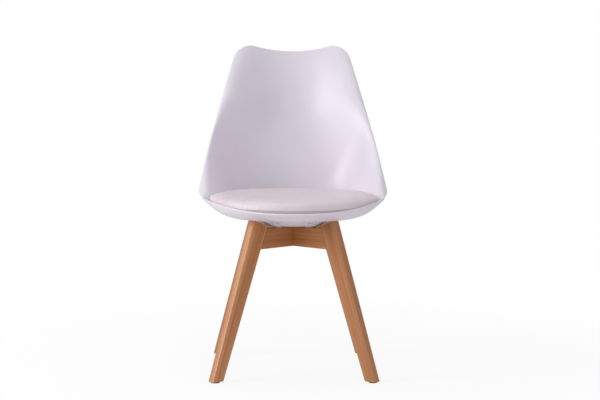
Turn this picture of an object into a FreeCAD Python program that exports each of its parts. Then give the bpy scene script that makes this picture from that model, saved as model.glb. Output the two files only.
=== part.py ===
import FreeCAD, Part
import math
import os

import Sketcher

Vector = FreeCAD.Vector

# Moulded plastic shell chair with a padded seat on four splayed beech legs.
# +Z is up, the sitter faces -Y, and the origin is on the floor in the middle of the base.
# X = 0 is the plane of symmetry. Lengths are millimetres and angles are degrees.

SIZES = [
    # Shell: one moulding of even wall, described by its inner face
    ("shell_wall", 5.0, "wall of the moulding"),
    ("hip_half_width", 242.5, "widest point of the shell, where seat rim and back edge meet"),
    ("hip_setback", 12.0, "the hips lie this far behind the middle of the base"),
    ("hip_height", 443.0, "height of the hips"),
    ("lip_reach", 235.0, "front lip, forward of the middle"),
    ("lip_height", 418.0, "height of the front lip"),
    ("rim_sweep", 70.0, "part of an ellipse that the rim follows from lip to hip"),
    ("rim_rise_power", 2.4, "how late the rim climbs towards the hips"),
    ("pan_height", 393.0, "inner face of the seat pan"),
    ("lip_curve", 157.0, "radius of the pan's rise to the front lip"),
    ("back_foot", 178.0, "where the line of the back would cross the pan"),
    ("bend_radius", 110.0, "bend between pan and back on the centre line"),
    ("recline", 14.0, "lean of the back from upright"),
    ("top_height", 827.0, "highest points of the back, left and right of the dip"),
    ("top_corner_radius", 47.0, "rounded top corners"),
    ("top_dip_angle", 15.0, "slope of the top edge where the dip begins"),
    ("wing_top_half_width", 143.0, "half width that the side edges run to above the corners"),
    ("wing_lead", 25.0, "side edges stand this far forward of the back at the top"),
    ("dish_depth", 20.0, "mounting dish pressed down in the middle of the pan"),
    ("dish_flat", 58.0, "half width of the dish floor"),
    ("dish_flank", 50.0, "width of the sloping flank round the dish"),
    # Bosses and holes of the shell
    ("bolt_circle", 60.0, "frame bolts, from the middle along each diagonal"),
    ("boss_radius", 13.0, "bosses that take the threaded inserts"),
    ("boss_stand", 2.5, "bosses stand below the underside of the dish"),
    ("boss_height", 13.0, "height of the bosses"),
    ("insert_radius", 4.5, "threaded insert, outside"),
    ("insert_length", 10.0, "threaded insert"),
    ("pad_screw_x", 40.0, "pad screws, left and right of the middle"),
    ("pad_screw_front", 120.0, "front pad screws, forward of the middle"),
    ("pad_screw_back", 104.0, "rear pad screws, behind the middle"),
    ("origin_setback", 24.84, "the origin lies this far behind the middle of the four feet"),
    ("pad_boss_radius", 9.0, "flat seats for the pad screws' washers"),
    ("pad_boss_stand", 3.5, "these seats stand below the underside of the pan"),
    ("pad_boss_height", 6.0, "height of these seats, up into the wall"),
    # Frame: two crossing rails, a leg at each end
    ("rail_height", 50.0, "depth of the cross rails"),
    ("rail_thickness", 27.0, "thickness of rails and legs"),
    ("rail_flat", 89.0, "level part of the rails' top, from the middle"),
    ("top_cut", 20.5, "slope of the legs' tops and rail ends, along the shell"),
    ("foot_reach", 287.0, "outer edge of a leg at the floor, from the middle"),
    ("foot_width", 30.0, "width of a leg at the floor"),
    ("leg_outer_angle", 19.8, "outer edge of the legs from upright"),
    ("leg_inner_angle", 22.2, "inner edge of the legs from upright"),
    ("leg_round", 9.0, "rounding of the legs' outer edges"),
    ("wood_arris", 1.5, "softened edges of the wood"),
    ("lap_clearance", 0.2, "play of the half-lap joint"),
    ("dowel_radius", 4.0, "dowels from rail into leg"),
    ("dowel_length", 36.0, "dowel"),
    ("dowel_clearance", 0.1, "play round a dowel"),
    ("dowel_low", 14.0, "lower dowel above the rail's bottom"),
    ("dowel_pitch", 19.0, "between the two dowels of a joint"),
    # Fasteners of the frame
    ("bolt_radius", 3.0, "frame bolt, M6"),
    ("bolt_length", 45.0, "frame bolt under its head"),
    ("bolt_engagement", 9.5, "bolt above the top of the frame"),
    ("bolt_head_radius", 5.25, "button head"),
    ("bolt_head_height", 3.3, "button head"),
    ("bolt_socket", 2.3, "hexagon socket, centre to corner"),
    ("bolt_socket_depth", 2.0, "hexagon socket"),
    ("bolt_clearance", 0.3, "play round a bolt in wood"),
    ("counterbore_radius", 7.5, "pockets for the bolt heads, from below"),
    ("washer_radius", 6.5, "flat washer"),
    ("washer_thickness", 1.2, "flat washer"),
    ("spring_washer_radius", 5.0, "spring washer"),
    ("spring_washer_thickness", 1.6, "spring washer"),
    ("spring_washer_gap", 1.0, "split of the spring washer"),
    ("thread_clearance", 0.05, "play of a thread, drawn plain"),
    # Seat pad
    ("pad_half_width", 220.0, "pad at its widest"),
    ("pad_front", 223.0, "front of the pad, forward of the middle"),
    ("pad_back", 168.0, "back of the pad, behind the middle"),
    ("pad_back_corner", 70.0, "rear corners of the pad in plan"),
    ("pad_edge_height", 431.0, "edge of the pad over the middle"),
    ("pad_edge_tilt", 2.9, "the edge climbs towards the back"),
    ("pad_crown", 16.0, "swell of the pad above its edge"),
    ("pad_bottom", 402.0, "flat underside of the pad"),
    ("pad_skin", 1.2, "thickness of the cover"),
    ("pad_gap", 0.3, "play of soft pieces"),
    ("board_half_width", 92.0, "base board of the pad"),
    ("board_front", 150.0, "front of the board, forward of the middle"),
    ("board_back", 114.0, "back of the board, behind the middle"),
    ("board_corner", 50.0, "corners of the board"),
    ("board_thickness", 9.0, "board"),
    ("wrap_width", 18.0, "cover turned in under the board"),
    # Fasteners of the pad
    ("pad_screw_radius", 2.5, "pad screw, M5"),
    ("pad_screw_length", 30.0, "pad screw under its head"),
    ("pad_screw_head_radius", 4.6, "pan head"),
    ("pad_screw_head_height", 2.6, "pan head"),
    ("pad_screw_slot", 1.0, "cross recess"),
    ("pad_screw_clearance", 0.4, "play round a pad screw"),
    ("pad_washer_radius", 7.5, "washer under a pad screw"),
    ("pad_washer_thickness", 1.0, "washer under a pad screw"),
    ("tee_flange_radius", 8.5, "tee nut"),
    ("tee_flange_thickness", 1.4, "tee nut"),
    ("tee_barrel_radius", 3.6, "tee nut"),
    ("tee_barrel_length", 7.0, "tee nut, down into the board"),
    # Feet
    ("glide_radius", 11.0, "nylon glide"),
    ("glide_thickness", 3.0, "nylon glide"),
    ("glide_arris", 1.0, "bevel of the glide's edge"),
    ("nail_radius", 1.0, "nail of the glide"),
    ("nail_length", 15.0, "nail above its head"),
    ("nail_head_radius", 3.0, "nail head"),
    ("nail_head_thickness", 0.8, "nail head"),
    ("nail_head_play", 0.2, "play round the nail head in the glide"),
    ("nail_depth", 1.0, "nail head above the floor"),
]

# How finely the formulas are sampled along and across, for the shell and for its seat alone
SHELL_GRID = (41, 49)
SEAT_GRID = (25, 29)

# How far the face reaches up the back and out to the side edges, for the shell and for its seat
SHELL_REACH = (1.0, 1.0)
SEAT_REACH = (0.7, 0.94)

# How level the pad's top stays before it falls to its edge
PAD_FULLNESS = 8

doc = FreeCAD.newDocument("ShellChair")
sheet = doc.addObject("Spreadsheet::Sheet", "Sizes")
for row, (alias, number, meaning) in enumerate(SIZES, start=1):
    sheet.set(f"A{row}", alias)
    sheet.set(f"B{row}", str(number))
    sheet.set(f"C{row}", meaning)
    sheet.setAlias(f"B{row}", alias)
doc.recompute()

nodes = []


def size(alias):
    """One size from the sheet, as a number."""
    return float(sheet.get(alias))


def bound(text):
    """An expression in the sheet's names, with each name tied to the sheet."""
    words = []
    word = ""
    for letter in text + " ":
        if letter.isalnum() or letter == "_":
            word += letter
            continue
        words.append("Sizes." + word if word in ALIASES else word)
        words.append(letter)
        word = ""
    return "".join(words).strip()


def value(text):
    """What such an expression comes to now."""
    return float(sheet.evalExpression(bound(text)))


def kept(item, name):
    """Notes an object as one of the chair's pieces."""
    item.Label = name
    nodes.append(item)
    return item


ALIASES = {alias for alias, number, meaning in SIZES}

# Heights and places that several pieces share
FRAME_TOP = "(pan_height - dish_depth - shell_wall - boss_stand)"
RAIL_BOTTOM = f"({FRAME_TOP} - rail_height)"
FOOT_INNER = "(foot_reach - foot_width)"
BOLT_HEAD_SEAT = f"({FRAME_TOP} + bolt_engagement - bolt_length)"
BOLT_CEILING = f"({BOLT_HEAD_SEAT} + spring_washer_thickness + washer_thickness)"
PAD_SCREW_SEAT = "(pan_height - shell_wall - pad_boss_stand)"
BOARD_BOTTOM = "(pad_bottom + pad_skin)"
BOARD_TOP = f"({BOARD_BOTTOM} + board_thickness)"
FOOT_MIDDLE = "(foot_reach - foot_width / 2 - glide_thickness * tan(leg_outer_angle))"
DIAGONALS = (45, 135, 225, 315)


# Primitives tied to the sheet

def tie(item, **properties):
    """Binds properties of an object to expressions; a double underscore stands for a dot."""
    for name, text in properties.items():
        item.setExpression(name.replace("__", "."), bound(str(text)))


def place(item, x, y, z):
    tie(item, Placement__Base__x=x, Placement__Base__y=y, Placement__Base__z=z)


def cylinder(name, radius, length, x, y, z):
    item = doc.addObject("Part::Cylinder", name)
    tie(item, Radius=radius, Height=length)
    place(item, x, y, z)
    return item


def cone(name, low_radius, high_radius, length, x, y, z):
    item = doc.addObject("Part::Cone", name)
    tie(item, Radius1=low_radius, Radius2=high_radius, Height=length)
    place(item, x, y, z)
    return item


def box(name, along, across, up, x, y, z):
    """A box centred on x and y that stands on z."""
    item = doc.addObject("Part::Box", name)
    tie(item, Length=along, Width=across, Height=up)
    place(item, f"{x} - ({along}) / 2", f"{y} - ({across}) / 2", z)
    return item


def fused(name, pieces):
    item = doc.addObject("Part::MultiFuse", name)
    item.Shapes = pieces
    return item


def cut(name, base, tool):
    item = doc.addObject("Part::Cut", name)
    item.Base = base
    item.Tool = tool
    return item


def group(name, pieces):
    """Identical pieces kept together as separate solids."""
    item = doc.addObject("Part::Compound", name)
    item.Links = pieces
    return kept(item, name)


def on_diagonals(radius):
    """Places at one distance from the middle along the four diagonals."""
    return [(f"{radius} * cos({turn})", f"{radius} * sin({turn})") for turn in DIAGONALS]


PAD_SCREW_PLACES = [(f"{side} * pad_screw_x", end)
                    for side in (-1, 1) for end in ("-1 * pad_screw_front", "pad_screw_back")]


# Shell: formulas for its inner face

def eased(fraction):
    """0 to 1 with level ends."""
    fraction = max(0.0, min(1.0, fraction))
    return fraction * fraction * (3 - 2 * fraction)


class ShellForm:
    """Inner face of the shell. It is spanned between the centre line, the two back edges and the
    front rim. Along it u runs from the front rim (0) to above the top edge (1); across it v runs
    from the left edge (-1) to the right edge (1)."""

    # Share of u at which pan turns into back, and how quickly
    TURN_START = 0.38
    TURN_SPAN = 0.42
    # Powers that set how flat the section is in the middle and how its edges roll outward
    PAN_MIDDLE, PAN_EDGE, PAN_ROLL = 6.0, 14.0, 1.05
    BACK_MIDDLE, BACK_EDGE, BACK_ROLL = 2.3, 4.0, 1.45
    # Spacing of u along the centre line and up the back edges
    CENTRE_SPACING = 1.18
    EDGE_SPACING = 1.48
    # Plan and front view of the back edges, as powers of the height above the hips
    EDGE_NARROWING = 1.17
    EDGE_SETBACK = 0.85
    # Reach of the front rim's own shape into the pan, in height and in plan
    RIM_DEPTH = 0.36
    RIM_SPREAD = 0.7
    # Roundness of the dish's square
    DISH_SQUARENESS = 5
    # The face runs on above the top edge by this much before it is trimmed
    OVERRUN = 13.0

    def __init__(self):
        self.hip = Vector(size("hip_half_width"), size("hip_setback"), size("hip_height"))
        self.lip = Vector(0, -size("lip_reach"), size("lip_height"))
        self.pan = size("pan_height")
        self.top = size("top_height") + self.OVERRUN
        self.lip_radius = size("lip_curve")
        self.bend_radius = size("bend_radius")
        self.lean = math.radians(size("recline"))
        self.lip_turn = math.acos(1 - (self.lip.z - self.pan) / self.lip_radius)
        self.pan_front = self.lip.y + self.lip_radius * math.sin(self.lip_turn)
        self.bend_turn = math.pi / 2 - self.lean
        tangent = self.bend_radius * math.tan(self.bend_turn / 2)
        self.pan_back = size("back_foot") - tangent
        bend_top = self.pan + self.bend_radius * (1 - math.cos(self.bend_turn))
        self.lengths = [
            self.lip_radius * self.lip_turn,
            self.pan_back - self.pan_front,
            self.bend_radius * self.bend_turn,
            (self.top - bend_top) / math.cos(self.lean),
        ]
        self.rim_turn = math.radians(size("rim_sweep"))
        self.rim_across = self.hip.x / math.sin(self.rim_turn)
        self.rim_along = (self.hip.y - self.lip.y) / (1 - math.cos(self.rim_turn))
        self.rim_power = size("rim_rise_power")
        self.dish_depth = size("dish_depth")
        self.dish_flat = size("dish_flat")
        self.dish_flank = size("dish_flank")
        self.wing_top = Vector(size("wing_top_half_width"),
                               self.centre(1).y - size("wing_lead"), self.top)

    def centre(self, u):
        """Centre line: an arc down from the lip, the level pan, the bend and the straight back."""
        front, pan, bend, back = self.lengths
        along = sum(self.lengths) * u ** self.CENTRE_SPACING
        if along < front:
            turn = self.lip_turn - along / self.lip_radius
            return Vector(0, self.pan_front - self.lip_radius * math.sin(turn),
                          self.pan + self.lip_radius * (1 - math.cos(turn)))
        along -= front
        if along < pan:
            return Vector(0, self.pan_front + along, self.pan)
        along -= pan
        turn = min(along / self.bend_radius, self.bend_turn)
        run = max(0.0, along - bend)
        return Vector(0, self.pan_back + self.bend_radius * math.sin(turn) + run * math.cos(turn),
                      self.pan + self.bend_radius * (1 - math.cos(turn)) + run * math.sin(turn))

    def edge(self, u):
        """Right back edge, from the hip to above the top corner."""
        rise = u ** self.EDGE_SPACING
        return Vector(
            self.hip.x - (self.hip.x - self.wing_top.x) * rise ** self.EDGE_NARROWING,
            self.hip.y + (self.wing_top.y - self.hip.y) * rise ** self.EDGE_SETBACK,
            self.hip.z + (self.wing_top.z - self.hip.z) * rise)

    def edge_slope(self, height):
        """Half width of the back at a height and the lean of its edge from upright there."""
        rise = (height - self.hip.z) / (self.wing_top.z - self.hip.z)
        narrowing = self.hip.x - self.wing_top.x
        half_width = self.hip.x - narrowing * rise ** self.EDGE_NARROWING
        slope = (narrowing * self.EDGE_NARROWING * rise ** (self.EDGE_NARROWING - 1)
                 / (self.wing_top.z - self.hip.z))
        return half_width, math.atan(slope)

    def rim(self, v):
        """Front rim, on the right for v above 0: part of an ellipse that climbs to the hip."""
        turn = v * self.rim_turn
        x = self.rim_across * math.sin(turn)
        y = self.lip.y + self.rim_along * (1 - math.cos(turn))
        climb = (x / self.hip.x) ** self.rim_power
        return Vector(x, y, self.lip.z + (self.hip.z - self.lip.z) * climb)

    def section(self, u, v):
        """Share of the way from the centre line (0) to the edge (1); past 1 the edge rolls out."""
        back = eased((u - self.TURN_START) / self.TURN_SPAN)
        middle = self.PAN_MIDDLE + (self.BACK_MIDDLE - self.PAN_MIDDLE) * back
        edge = self.PAN_EDGE + (self.BACK_EDGE - self.PAN_EDGE) * back
        roll = self.PAN_ROLL + (self.BACK_ROLL - self.PAN_ROLL) * back
        weight = middle / (edge - middle) * roll
        return (1 + weight) * v ** middle - weight * v ** edge

    def half(self, u, v, dished):
        """A point of the right half, v from 0 to 1, with or without the mounting dish."""
        centre, edge = self.centre(u), self.edge(u)
        share = self.section(u, v)
        point = Vector(edge.x * v, centre.y + (edge.y - centre.y) * share,
                       centre.z + (edge.z - centre.z) * share)
        front = self.section(0, v)
        plain_rim = Vector(self.hip.x * v, self.lip.y + (self.hip.y - self.lip.y) * front,
                           self.lip.z + (self.hip.z - self.lip.z) * front)
        shift = self.rim(v) - plain_rim
        spread = max(0.0, 1 - u / self.RIM_SPREAD) ** 2
        depth = max(0.0, 1 - u / self.RIM_DEPTH) ** 3
        point += Vector(shift.x * spread, shift.y * spread, shift.z * depth)
        if dished:
            power = self.DISH_SQUARENESS
            out = (abs(point.x) ** power + abs(point.y) ** power) ** (1 / power)
            point.z -= self.dish_depth * (1 - eased((out - self.dish_flat) / self.dish_flank))
        return point

    def face(self, rows, columns, reach, dished):
        """The inner face up to a reach in u and v, before it is trimmed along the top."""
        up, out = reach
        grid = []
        for row in range(rows):
            u = up * row / (rows - 1)
            line = []
            for column in range(columns):
                v = out * (2 * column / (columns - 1) - 1)
                point = self.half(u, abs(v), dished)
                line.append(Vector(math.copysign(point.x, v), point.y, point.z))
            grid.append(line)
        surface = Part.BSplineSurface()
        surface.interpolate(grid)
        return surface.toShape()


def arc_about(x, z, radius, start, end):
    """An arc in the front view about a centre, between two angles from +X."""
    points = [Vector(x + radius * math.cos(turn), 0, z + radius * math.sin(turn))
              for turn in (start, (start + end) / 2, end)]
    return Part.Arc(*points).toShape(), points[0], points[2]


def top_outline(form):
    """Front view that the back is trimmed to: a shallow dip between two rounded corners. The
    corner arcs cut the side edges at a small angle, and the outline then runs clear of them."""
    bite = 0.2
    clear = math.radians(6)
    side_room = 60.0
    radius = size("top_corner_radius")
    dip = math.radians(size("top_dip_angle"))
    lean = math.radians(size("recline"))
    for step in range(6):
        height = size("top_height") - radius * (1 - math.sin(lean))
        half_width, lean = form.edge_slope(height)
    x = half_width - radius * math.cos(lean) + bite
    z = size("top_height") - radius
    corner, inner, outer = arc_about(x, z, radius, math.pi / 2 + dip, lean)
    dip_radius = inner.x / math.sin(dip)
    hollow = Part.Arc(inner, Vector(0, 0, inner.z - dip_radius * (1 - math.cos(dip))),
                      Vector(-inner.x, 0, inner.z)).toShape()
    fall = outer.z - form.hip.z + form.lip.z - form.pan
    side = Vector(outer.x + fall * math.tan(lean + clear), 0, outer.z - fall)
    low = Vector(side.x + side_room, 0, form.pan - form.lip.z)
    right = [corner, Part.makeLine(outer, side), Part.makeLine(side, low)]
    left = [edge.mirror(Vector(0, 0, 0), Vector(1, 0, 0)) for edge in right]
    base = Part.makeLine(low, Vector(-low.x, 0, low.z))
    wire = Part.Wire(Part.__sortEdges__(right + [base] + left + [hollow]))
    return Part.Face(wire)


def trimmed_inner_face(form):
    deep = 2 * form.wing_top.y + 2 * size("lip_reach")
    outline = top_outline(form).extrude(Vector(0, deep, 0))
    outline.translate(Vector(0, -deep / 2, 0))
    return form.face(*SHELL_GRID, SHELL_REACH, True).common(outline).Faces[0]


def space_above(form, gap):
    """All the room over the seat, kept clear of the shell's inner face by a gap."""
    lifted = form.face(*SEAT_GRID, SEAT_REACH, False).makeOffsetShape(-gap, 0.001, fill=False)
    return lifted.extrude(Vector(0, 0, size("top_height") - size("pan_height")))


def build_shell(form):
    """The moulding with its four insert bosses and four washer seats."""
    wall = trimmed_inner_face(form).makeOffsetShape(size("shell_wall"), 0.001, fill=True)
    frame_top = value(FRAME_TOP)
    bosses = []
    holes = []
    for x_text, y_text in on_diagonals("bolt_circle"):
        x, y = value(x_text), value(y_text)
        bosses.append(Part.makeCylinder(size("boss_radius"), size("boss_height"),
                                        Vector(x, y, frame_top)))
        holes.append(Part.makeCylinder(size("insert_radius") + size("thread_clearance"),
                                       size("insert_length"), Vector(x, y, frame_top)))
    seat = value(PAD_SCREW_SEAT)
    through = size("pad_boss_height") + size("shell_wall") + size("pad_gap")
    for x_text, y_text in PAD_SCREW_PLACES:
        x, y = value(x_text), value(y_text)
        bosses.append(Part.makeCylinder(size("pad_boss_radius"), size("pad_boss_height"),
                                        Vector(x, y, seat)))
        radius = size("pad_screw_radius") + size("pad_screw_clearance")
        holes.append(Part.makeCylinder(radius, 2 * through, Vector(x, y, seat)))
    solid = wall.fuse(bosses).cut(holes).Solids[0]
    item = doc.addObject("Part::Feature", "seat_shell")
    item.Shape = solid
    kept(item, "seat_shell")


# Seat pad

def pad_ring(inset, shrink, height, tilt):
    """Outline of the pad in plan: a full front, rounded rear corners and a broad rear arc."""
    half_width = size("pad_half_width") - inset
    front = size("pad_front") - inset
    back = size("pad_back") - inset
    corner = size("pad_back_corner") - inset
    widest = half_width - front
    depth = back - widest
    broad = ((half_width - corner) ** 2 + depth ** 2 - corner ** 2) / (2 * (depth - corner))
    corner_centre = Vector(half_width - corner, widest, 0)
    broad_centre = Vector(0, back - broad, 0)
    towards = (corner_centre - broad_centre).normalize()
    meet = corner_centre + towards * corner
    bisector = (towards + Vector(1, 0, 0)).normalize()
    side = Vector(half_width, widest, 0)
    nose = Vector(0, -front, 0)
    slant = half_width / math.sqrt(2)
    quarter = Part.Arc(nose, Vector(slant, widest - slant, 0), side).toShape()
    turn = Part.Arc(side, corner_centre + bisector * corner, meet).toShape()
    rear = Part.Arc(meet, Vector(0, back, 0), Vector(-meet.x, meet.y, 0)).toShape()
    mirrored = [edge.mirror(Vector(0, 0, 0), Vector(1, 0, 0)) for edge in (turn, quarter)]
    ring = Part.Wire([quarter, turn, rear] + mirrored)
    middle = Vector(0, (back - front) / 2, 0)
    ring = ring.scaled(shrink, middle)
    ring.rotate(middle, Vector(1, 0, 0), tilt)
    ring.translate(Vector(0, 0, height))
    return ring


def pad_form(form, inset):
    """The pad's swollen form, set in by an inset and fitted to the bowl of the shell."""
    edge = size("pad_edge_height")
    tilt = size("pad_edge_tilt")
    crown = size("pad_crown") - inset
    bottom = size("pad_bottom") + inset
    rings = [pad_ring(inset, 0.86, bottom, 0), pad_ring(inset, 0.96, edge - crown, tilt / 2)]
    for shrink in (1.0, 0.985, 0.94, 0.84, 0.66, 0.42, 0.16):
        swell = (1 - shrink ** PAD_FULLNESS) ** 0.5
        rings.append(pad_ring(inset, shrink, edge + crown * swell, tilt * (1 - swell)))
    cushion = Part.makeLoft(rings, True, True)
    return cushion.common(space_above(form, size("pad_gap") + inset)).Solids[0]


def board_outline(inset, height):
    """Rounded oblong of the base board, set in by an inset."""
    half_width = size("board_half_width") - inset
    front = size("board_front") - inset
    back = size("board_back") - inset
    corner = size("board_corner") - inset
    turn = corner * (1 - 1 / math.sqrt(2))
    points = []
    for x_side, y_end in ((half_width, -front), (half_width, back),
                          (-half_width, back), (-half_width, -front)):
        points.append(Vector(x_side, y_end, height))
    edges = []
    for index, here in enumerate(points):
        before = (points[index - 1] - here).normalize()
        after = (points[(index + 1) % 4] - here).normalize()
        start, end = here + before * corner, here + after * corner
        middle = here + (before + after) * turn
        edges.append(Part.Arc(start, middle, end).toShape())
        edges.append(Part.makeLine(end, points[(index + 1) % 4] - after * corner))
    return Part.Wire(edges)


def upright(wire, height):
    return Part.Face(wire).extrude(Vector(0, 0, height))


def screw_columns(radius, bottom, height):
    return [Part.makeCylinder(radius, height, Vector(value(x), value(y), bottom))
            for x, y in PAD_SCREW_PLACES]


def hollowed(outer, lining, mouths):
    """The outer form without the lining's room, open through the bottom at each mouth. The faces
    are joined rather than cut, for the two forms never touch."""
    skin = size("pad_skin")
    faces = []
    cutters = [upright(mouth, 4 * skin) for mouth in mouths]
    for cutter in cutters:
        cutter.translate(Vector(0, 0, -skin))
    for solid in (outer, lining):
        floor = min(solid.Faces, key=lambda face: face.BoundBox.ZMax)
        faces += [face for face in solid.Faces if not face.isSame(floor)]
        faces += floor.cut(cutters).Faces
    for mouth in mouths:
        faces += mouth.extrude(Vector(0, 0, skin)).Faces
    shell = Part.Shell(faces)
    shell.sewShape()
    return Part.Solid(shell)


def build_pad(form):
    """Cover, foam and base board."""
    skin, gap = size("pad_skin"), size("pad_gap")
    bottom, board_bottom, board_top = size("pad_bottom"), value(BOARD_BOTTOM), value(BOARD_TOP)
    thickness = size("board_thickness")
    outer = pad_form(form, 0)
    lining = pad_form(form, skin)
    core = pad_form(form, skin + gap)
    mouths = [board_outline(size("wrap_width"), bottom)]
    for side in (-1, 1):
        place = Vector(side * size("pad_screw_x"), size("pad_screw_back"), bottom)
        radius = size("pad_screw_radius") + size("pad_screw_clearance")
        mouths.append(Part.Wire(Part.makeCircle(radius, place)))
    cover = hollowed(outer, lining, mouths)
    board = upright(board_outline(0, board_bottom), thickness)
    tee_hole = size("tee_barrel_radius") + size("thread_clearance")
    board = board.cut(screw_columns(tee_hole, bottom, 2 * thickness))
    foam = core.cut([upright(board_outline(-gap, bottom), board_top - bottom)]
                    + screw_columns(size("tee_flange_radius") + gap, board_bottom,
                                    thickness + size("tee_flange_thickness") + gap)
                    + screw_columns(size("pad_screw_radius") + gap, board_bottom,
                                    size("pad_screw_length") + thickness))
    for name, shape in (("pad_cover", cover), ("pad_foam", foam), ("pad_base_board", board)):
        item = doc.addObject("Part::Feature", name)
        item.Shape = shape.Solids[0]
        kept(item, name)


def build_pad_fasteners():
    """Four screws from below the shell into tee nuts of the pad's board."""
    screws, washers, tees = [], [], []
    for number, (x, y) in enumerate(PAD_SCREW_PLACES, start=1):
        tag = f"_{number}"
        seat = f"({PAD_SCREW_SEAT} - pad_washer_thickness)"
        head = cylinder("pad_screw_head" + tag, "pad_screw_head_radius", "pad_screw_head_height",
                        x, y, f"{seat} - pad_screw_head_height")
        shank = cylinder("pad_screw_shank" + tag, "pad_screw_radius", "pad_screw_length",
                         x, y, seat)
        slots = [box(f"pad_screw_slot_{way}" + tag, along, across, "pad_screw_head_height",
                     x, y, f"{seat} - 1.5 * pad_screw_head_height")
                 for way, along, across in (("along", "pad_screw_head_radius", "pad_screw_slot"),
                                            ("across", "pad_screw_slot", "pad_screw_head_radius"))]
        screws.append(cut("pad_screw" + tag, fused("pad_screw_blank" + tag, [head, shank]),
                          fused("pad_screw_recess" + tag, slots)))
        disc = cylinder("pad_washer_disc" + tag, "pad_washer_radius", "pad_washer_thickness",
                        x, y, seat)
        bore = cylinder("pad_washer_bore" + tag, "pad_screw_radius + pad_screw_clearance",
                        "pad_washer_thickness", x, y, seat)
        washers.append(cut("pad_washer" + tag, disc, bore))
        flange = cylinder("tee_flange" + tag, "tee_flange_radius", "tee_flange_thickness",
                          x, y, BOARD_TOP)
        barrel = cylinder("tee_barrel" + tag, "tee_barrel_radius", "tee_barrel_length",
                          x, y, f"{BOARD_TOP} - tee_barrel_length")
        thread = cylinder("tee_thread" + tag, "pad_screw_radius + thread_clearance",
                          "tee_barrel_length + tee_flange_thickness",
                          x, y, f"{BOARD_TOP} - tee_barrel_length")
        tees.append(cut("tee_nut" + tag, fused("tee_blank" + tag, [flange, barrel]), thread))
    group("pad_screws", screws)
    group("pad_screw_washers", washers)
    group("pad_tee_nuts", tees)


# Frame

def own_plane(body, role):
    return [part for part in body.Origin.OriginFeatures if part.Role == role][0]


def polygon_sketch(body, name, corners):
    """A closed outline in the body's upright plane, each corner tied to the sheet."""
    sketch = body.newObject("Sketcher::SketchObject", name)
    sketch.AttachmentSupport = [(own_plane(body, "XZ_Plane"), "")]
    sketch.MapMode = "FlatFace"
    points = [Vector(value(x), value(z), 0) for x, z in corners]
    for index, point in enumerate(points):
        sketch.addGeometry(Part.LineSegment(point, points[(index + 1) % len(points)]), False)
    for index in range(len(points)):
        sketch.addConstraint(Sketcher.Constraint("Coincident", index, 2,
                                                 (index + 1) % len(points), 1))
    for index, (x, z) in enumerate(corners):
        for kind, text, number in (("DistanceX", x, points[index].x),
                                   ("DistanceY", z, points[index].y)):
            rule = sketch.addConstraint(Sketcher.Constraint(kind, -1, 1, index, 1, number))
            sketch.setExpression(f"Constraints[{rule}]", bound(text))
    return sketch


def pad_both_ways(body, name, sketch, thickness):
    pad = body.newObject("PartDesign::Pad", name)
    pad.Profile = sketch
    pad.Midplane = True
    tie(pad, Length=thickness)
    sketch.Visibility = False
    return pad


def pocket_both_ways(body, name, sketch, thickness):
    pocket = body.newObject("PartDesign::Pocket", name)
    pocket.Profile = sketch
    pocket.Midplane = True
    tie(pocket, Length=thickness)
    sketch.Visibility = False
    return pocket


def drill(body, name, radius, length, x, z, turn):
    """A round hole that starts at x and z and leans from upright towards +X by a turn."""
    hole = body.newObject("PartDesign::SubtractiveCylinder", name)
    hole.Placement = FreeCAD.Placement(Vector(), FreeCAD.Rotation(Vector(0, 1, 0), 90))
    tie(hole, Radius=radius, Height=length, Placement__Base__x=x, Placement__Base__z=z,
        Placement__Rotation__Angle=turn)
    return hole


def round_edges(body, name, chosen, radius):
    """Rounds the long edges of the body's last feature that a test picks."""
    doc.recompute()
    base = body.Tip
    names = [f"Edge{number}" for number, edge in enumerate(base.Shape.Edges, start=1)
             if chosen(edge)]
    if not names:
        raise ValueError(f"{name}: no edge to round")
    fillet = body.newObject("PartDesign::Fillet", name)
    fillet.Base = (base, names)
    tie(fillet, Radius=radius)
    return fillet


def on_line(edge, start, lean):
    """True where both ends of an edge lie on an upright face that leans in from the floor."""
    slope = math.tan(math.radians(lean))
    ends = [vertex.Point for vertex in edge.Vertexes]
    flat = all(abs(end.x - (start - end.z * slope)) < 0.01 for end in ends)
    return flat and abs(ends[0].z - ends[-1].z) > 1.0


# Where the sloping top of the frame meets the outer and the inner edge of a leg
def top_meets(start, angle):
    return (f"(({FRAME_TOP} + ({start} - rail_flat) * tan(top_cut))"
            f" / (1 + tan({angle}) * tan(top_cut)))")


TOP_OUTER = top_meets("foot_reach", "leg_outer_angle")
TOP_INNER = top_meets(FOOT_INNER, "leg_inner_angle")


def dowel_places():
    """Start, in the plane of a rail and its legs, of the two dowels of the right-hand joint."""
    places = []
    for rise in ("dowel_low", "dowel_low + dowel_pitch"):
        z = f"({RAIL_BOTTOM} + {rise})"
        x = f"({FOOT_INNER} - {z} * tan(leg_inner_angle))"
        places.append((x, z))
    return places


DOWEL_TURN = "90 - leg_inner_angle"


def drill_dowel_holes(body, side):
    """Dowel holes of the joint on the +X side (1) or the -X side (-1)."""
    reach = "(dowel_length / 2 + dowel_clearance)"
    for number, (x, z) in enumerate(dowel_places(), start=1):
        end = "right" if side > 0 else "left"
        drill(body, f"dowel_hole_{end}_{number}", "dowel_radius + dowel_clearance",
              f"2 * {reach}", f"{side} * ({x} - {reach} * cos(leg_inner_angle))",
              f"{z} - {reach} * sin(leg_inner_angle)", f"{side} * ({DOWEL_TURN})")


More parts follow.
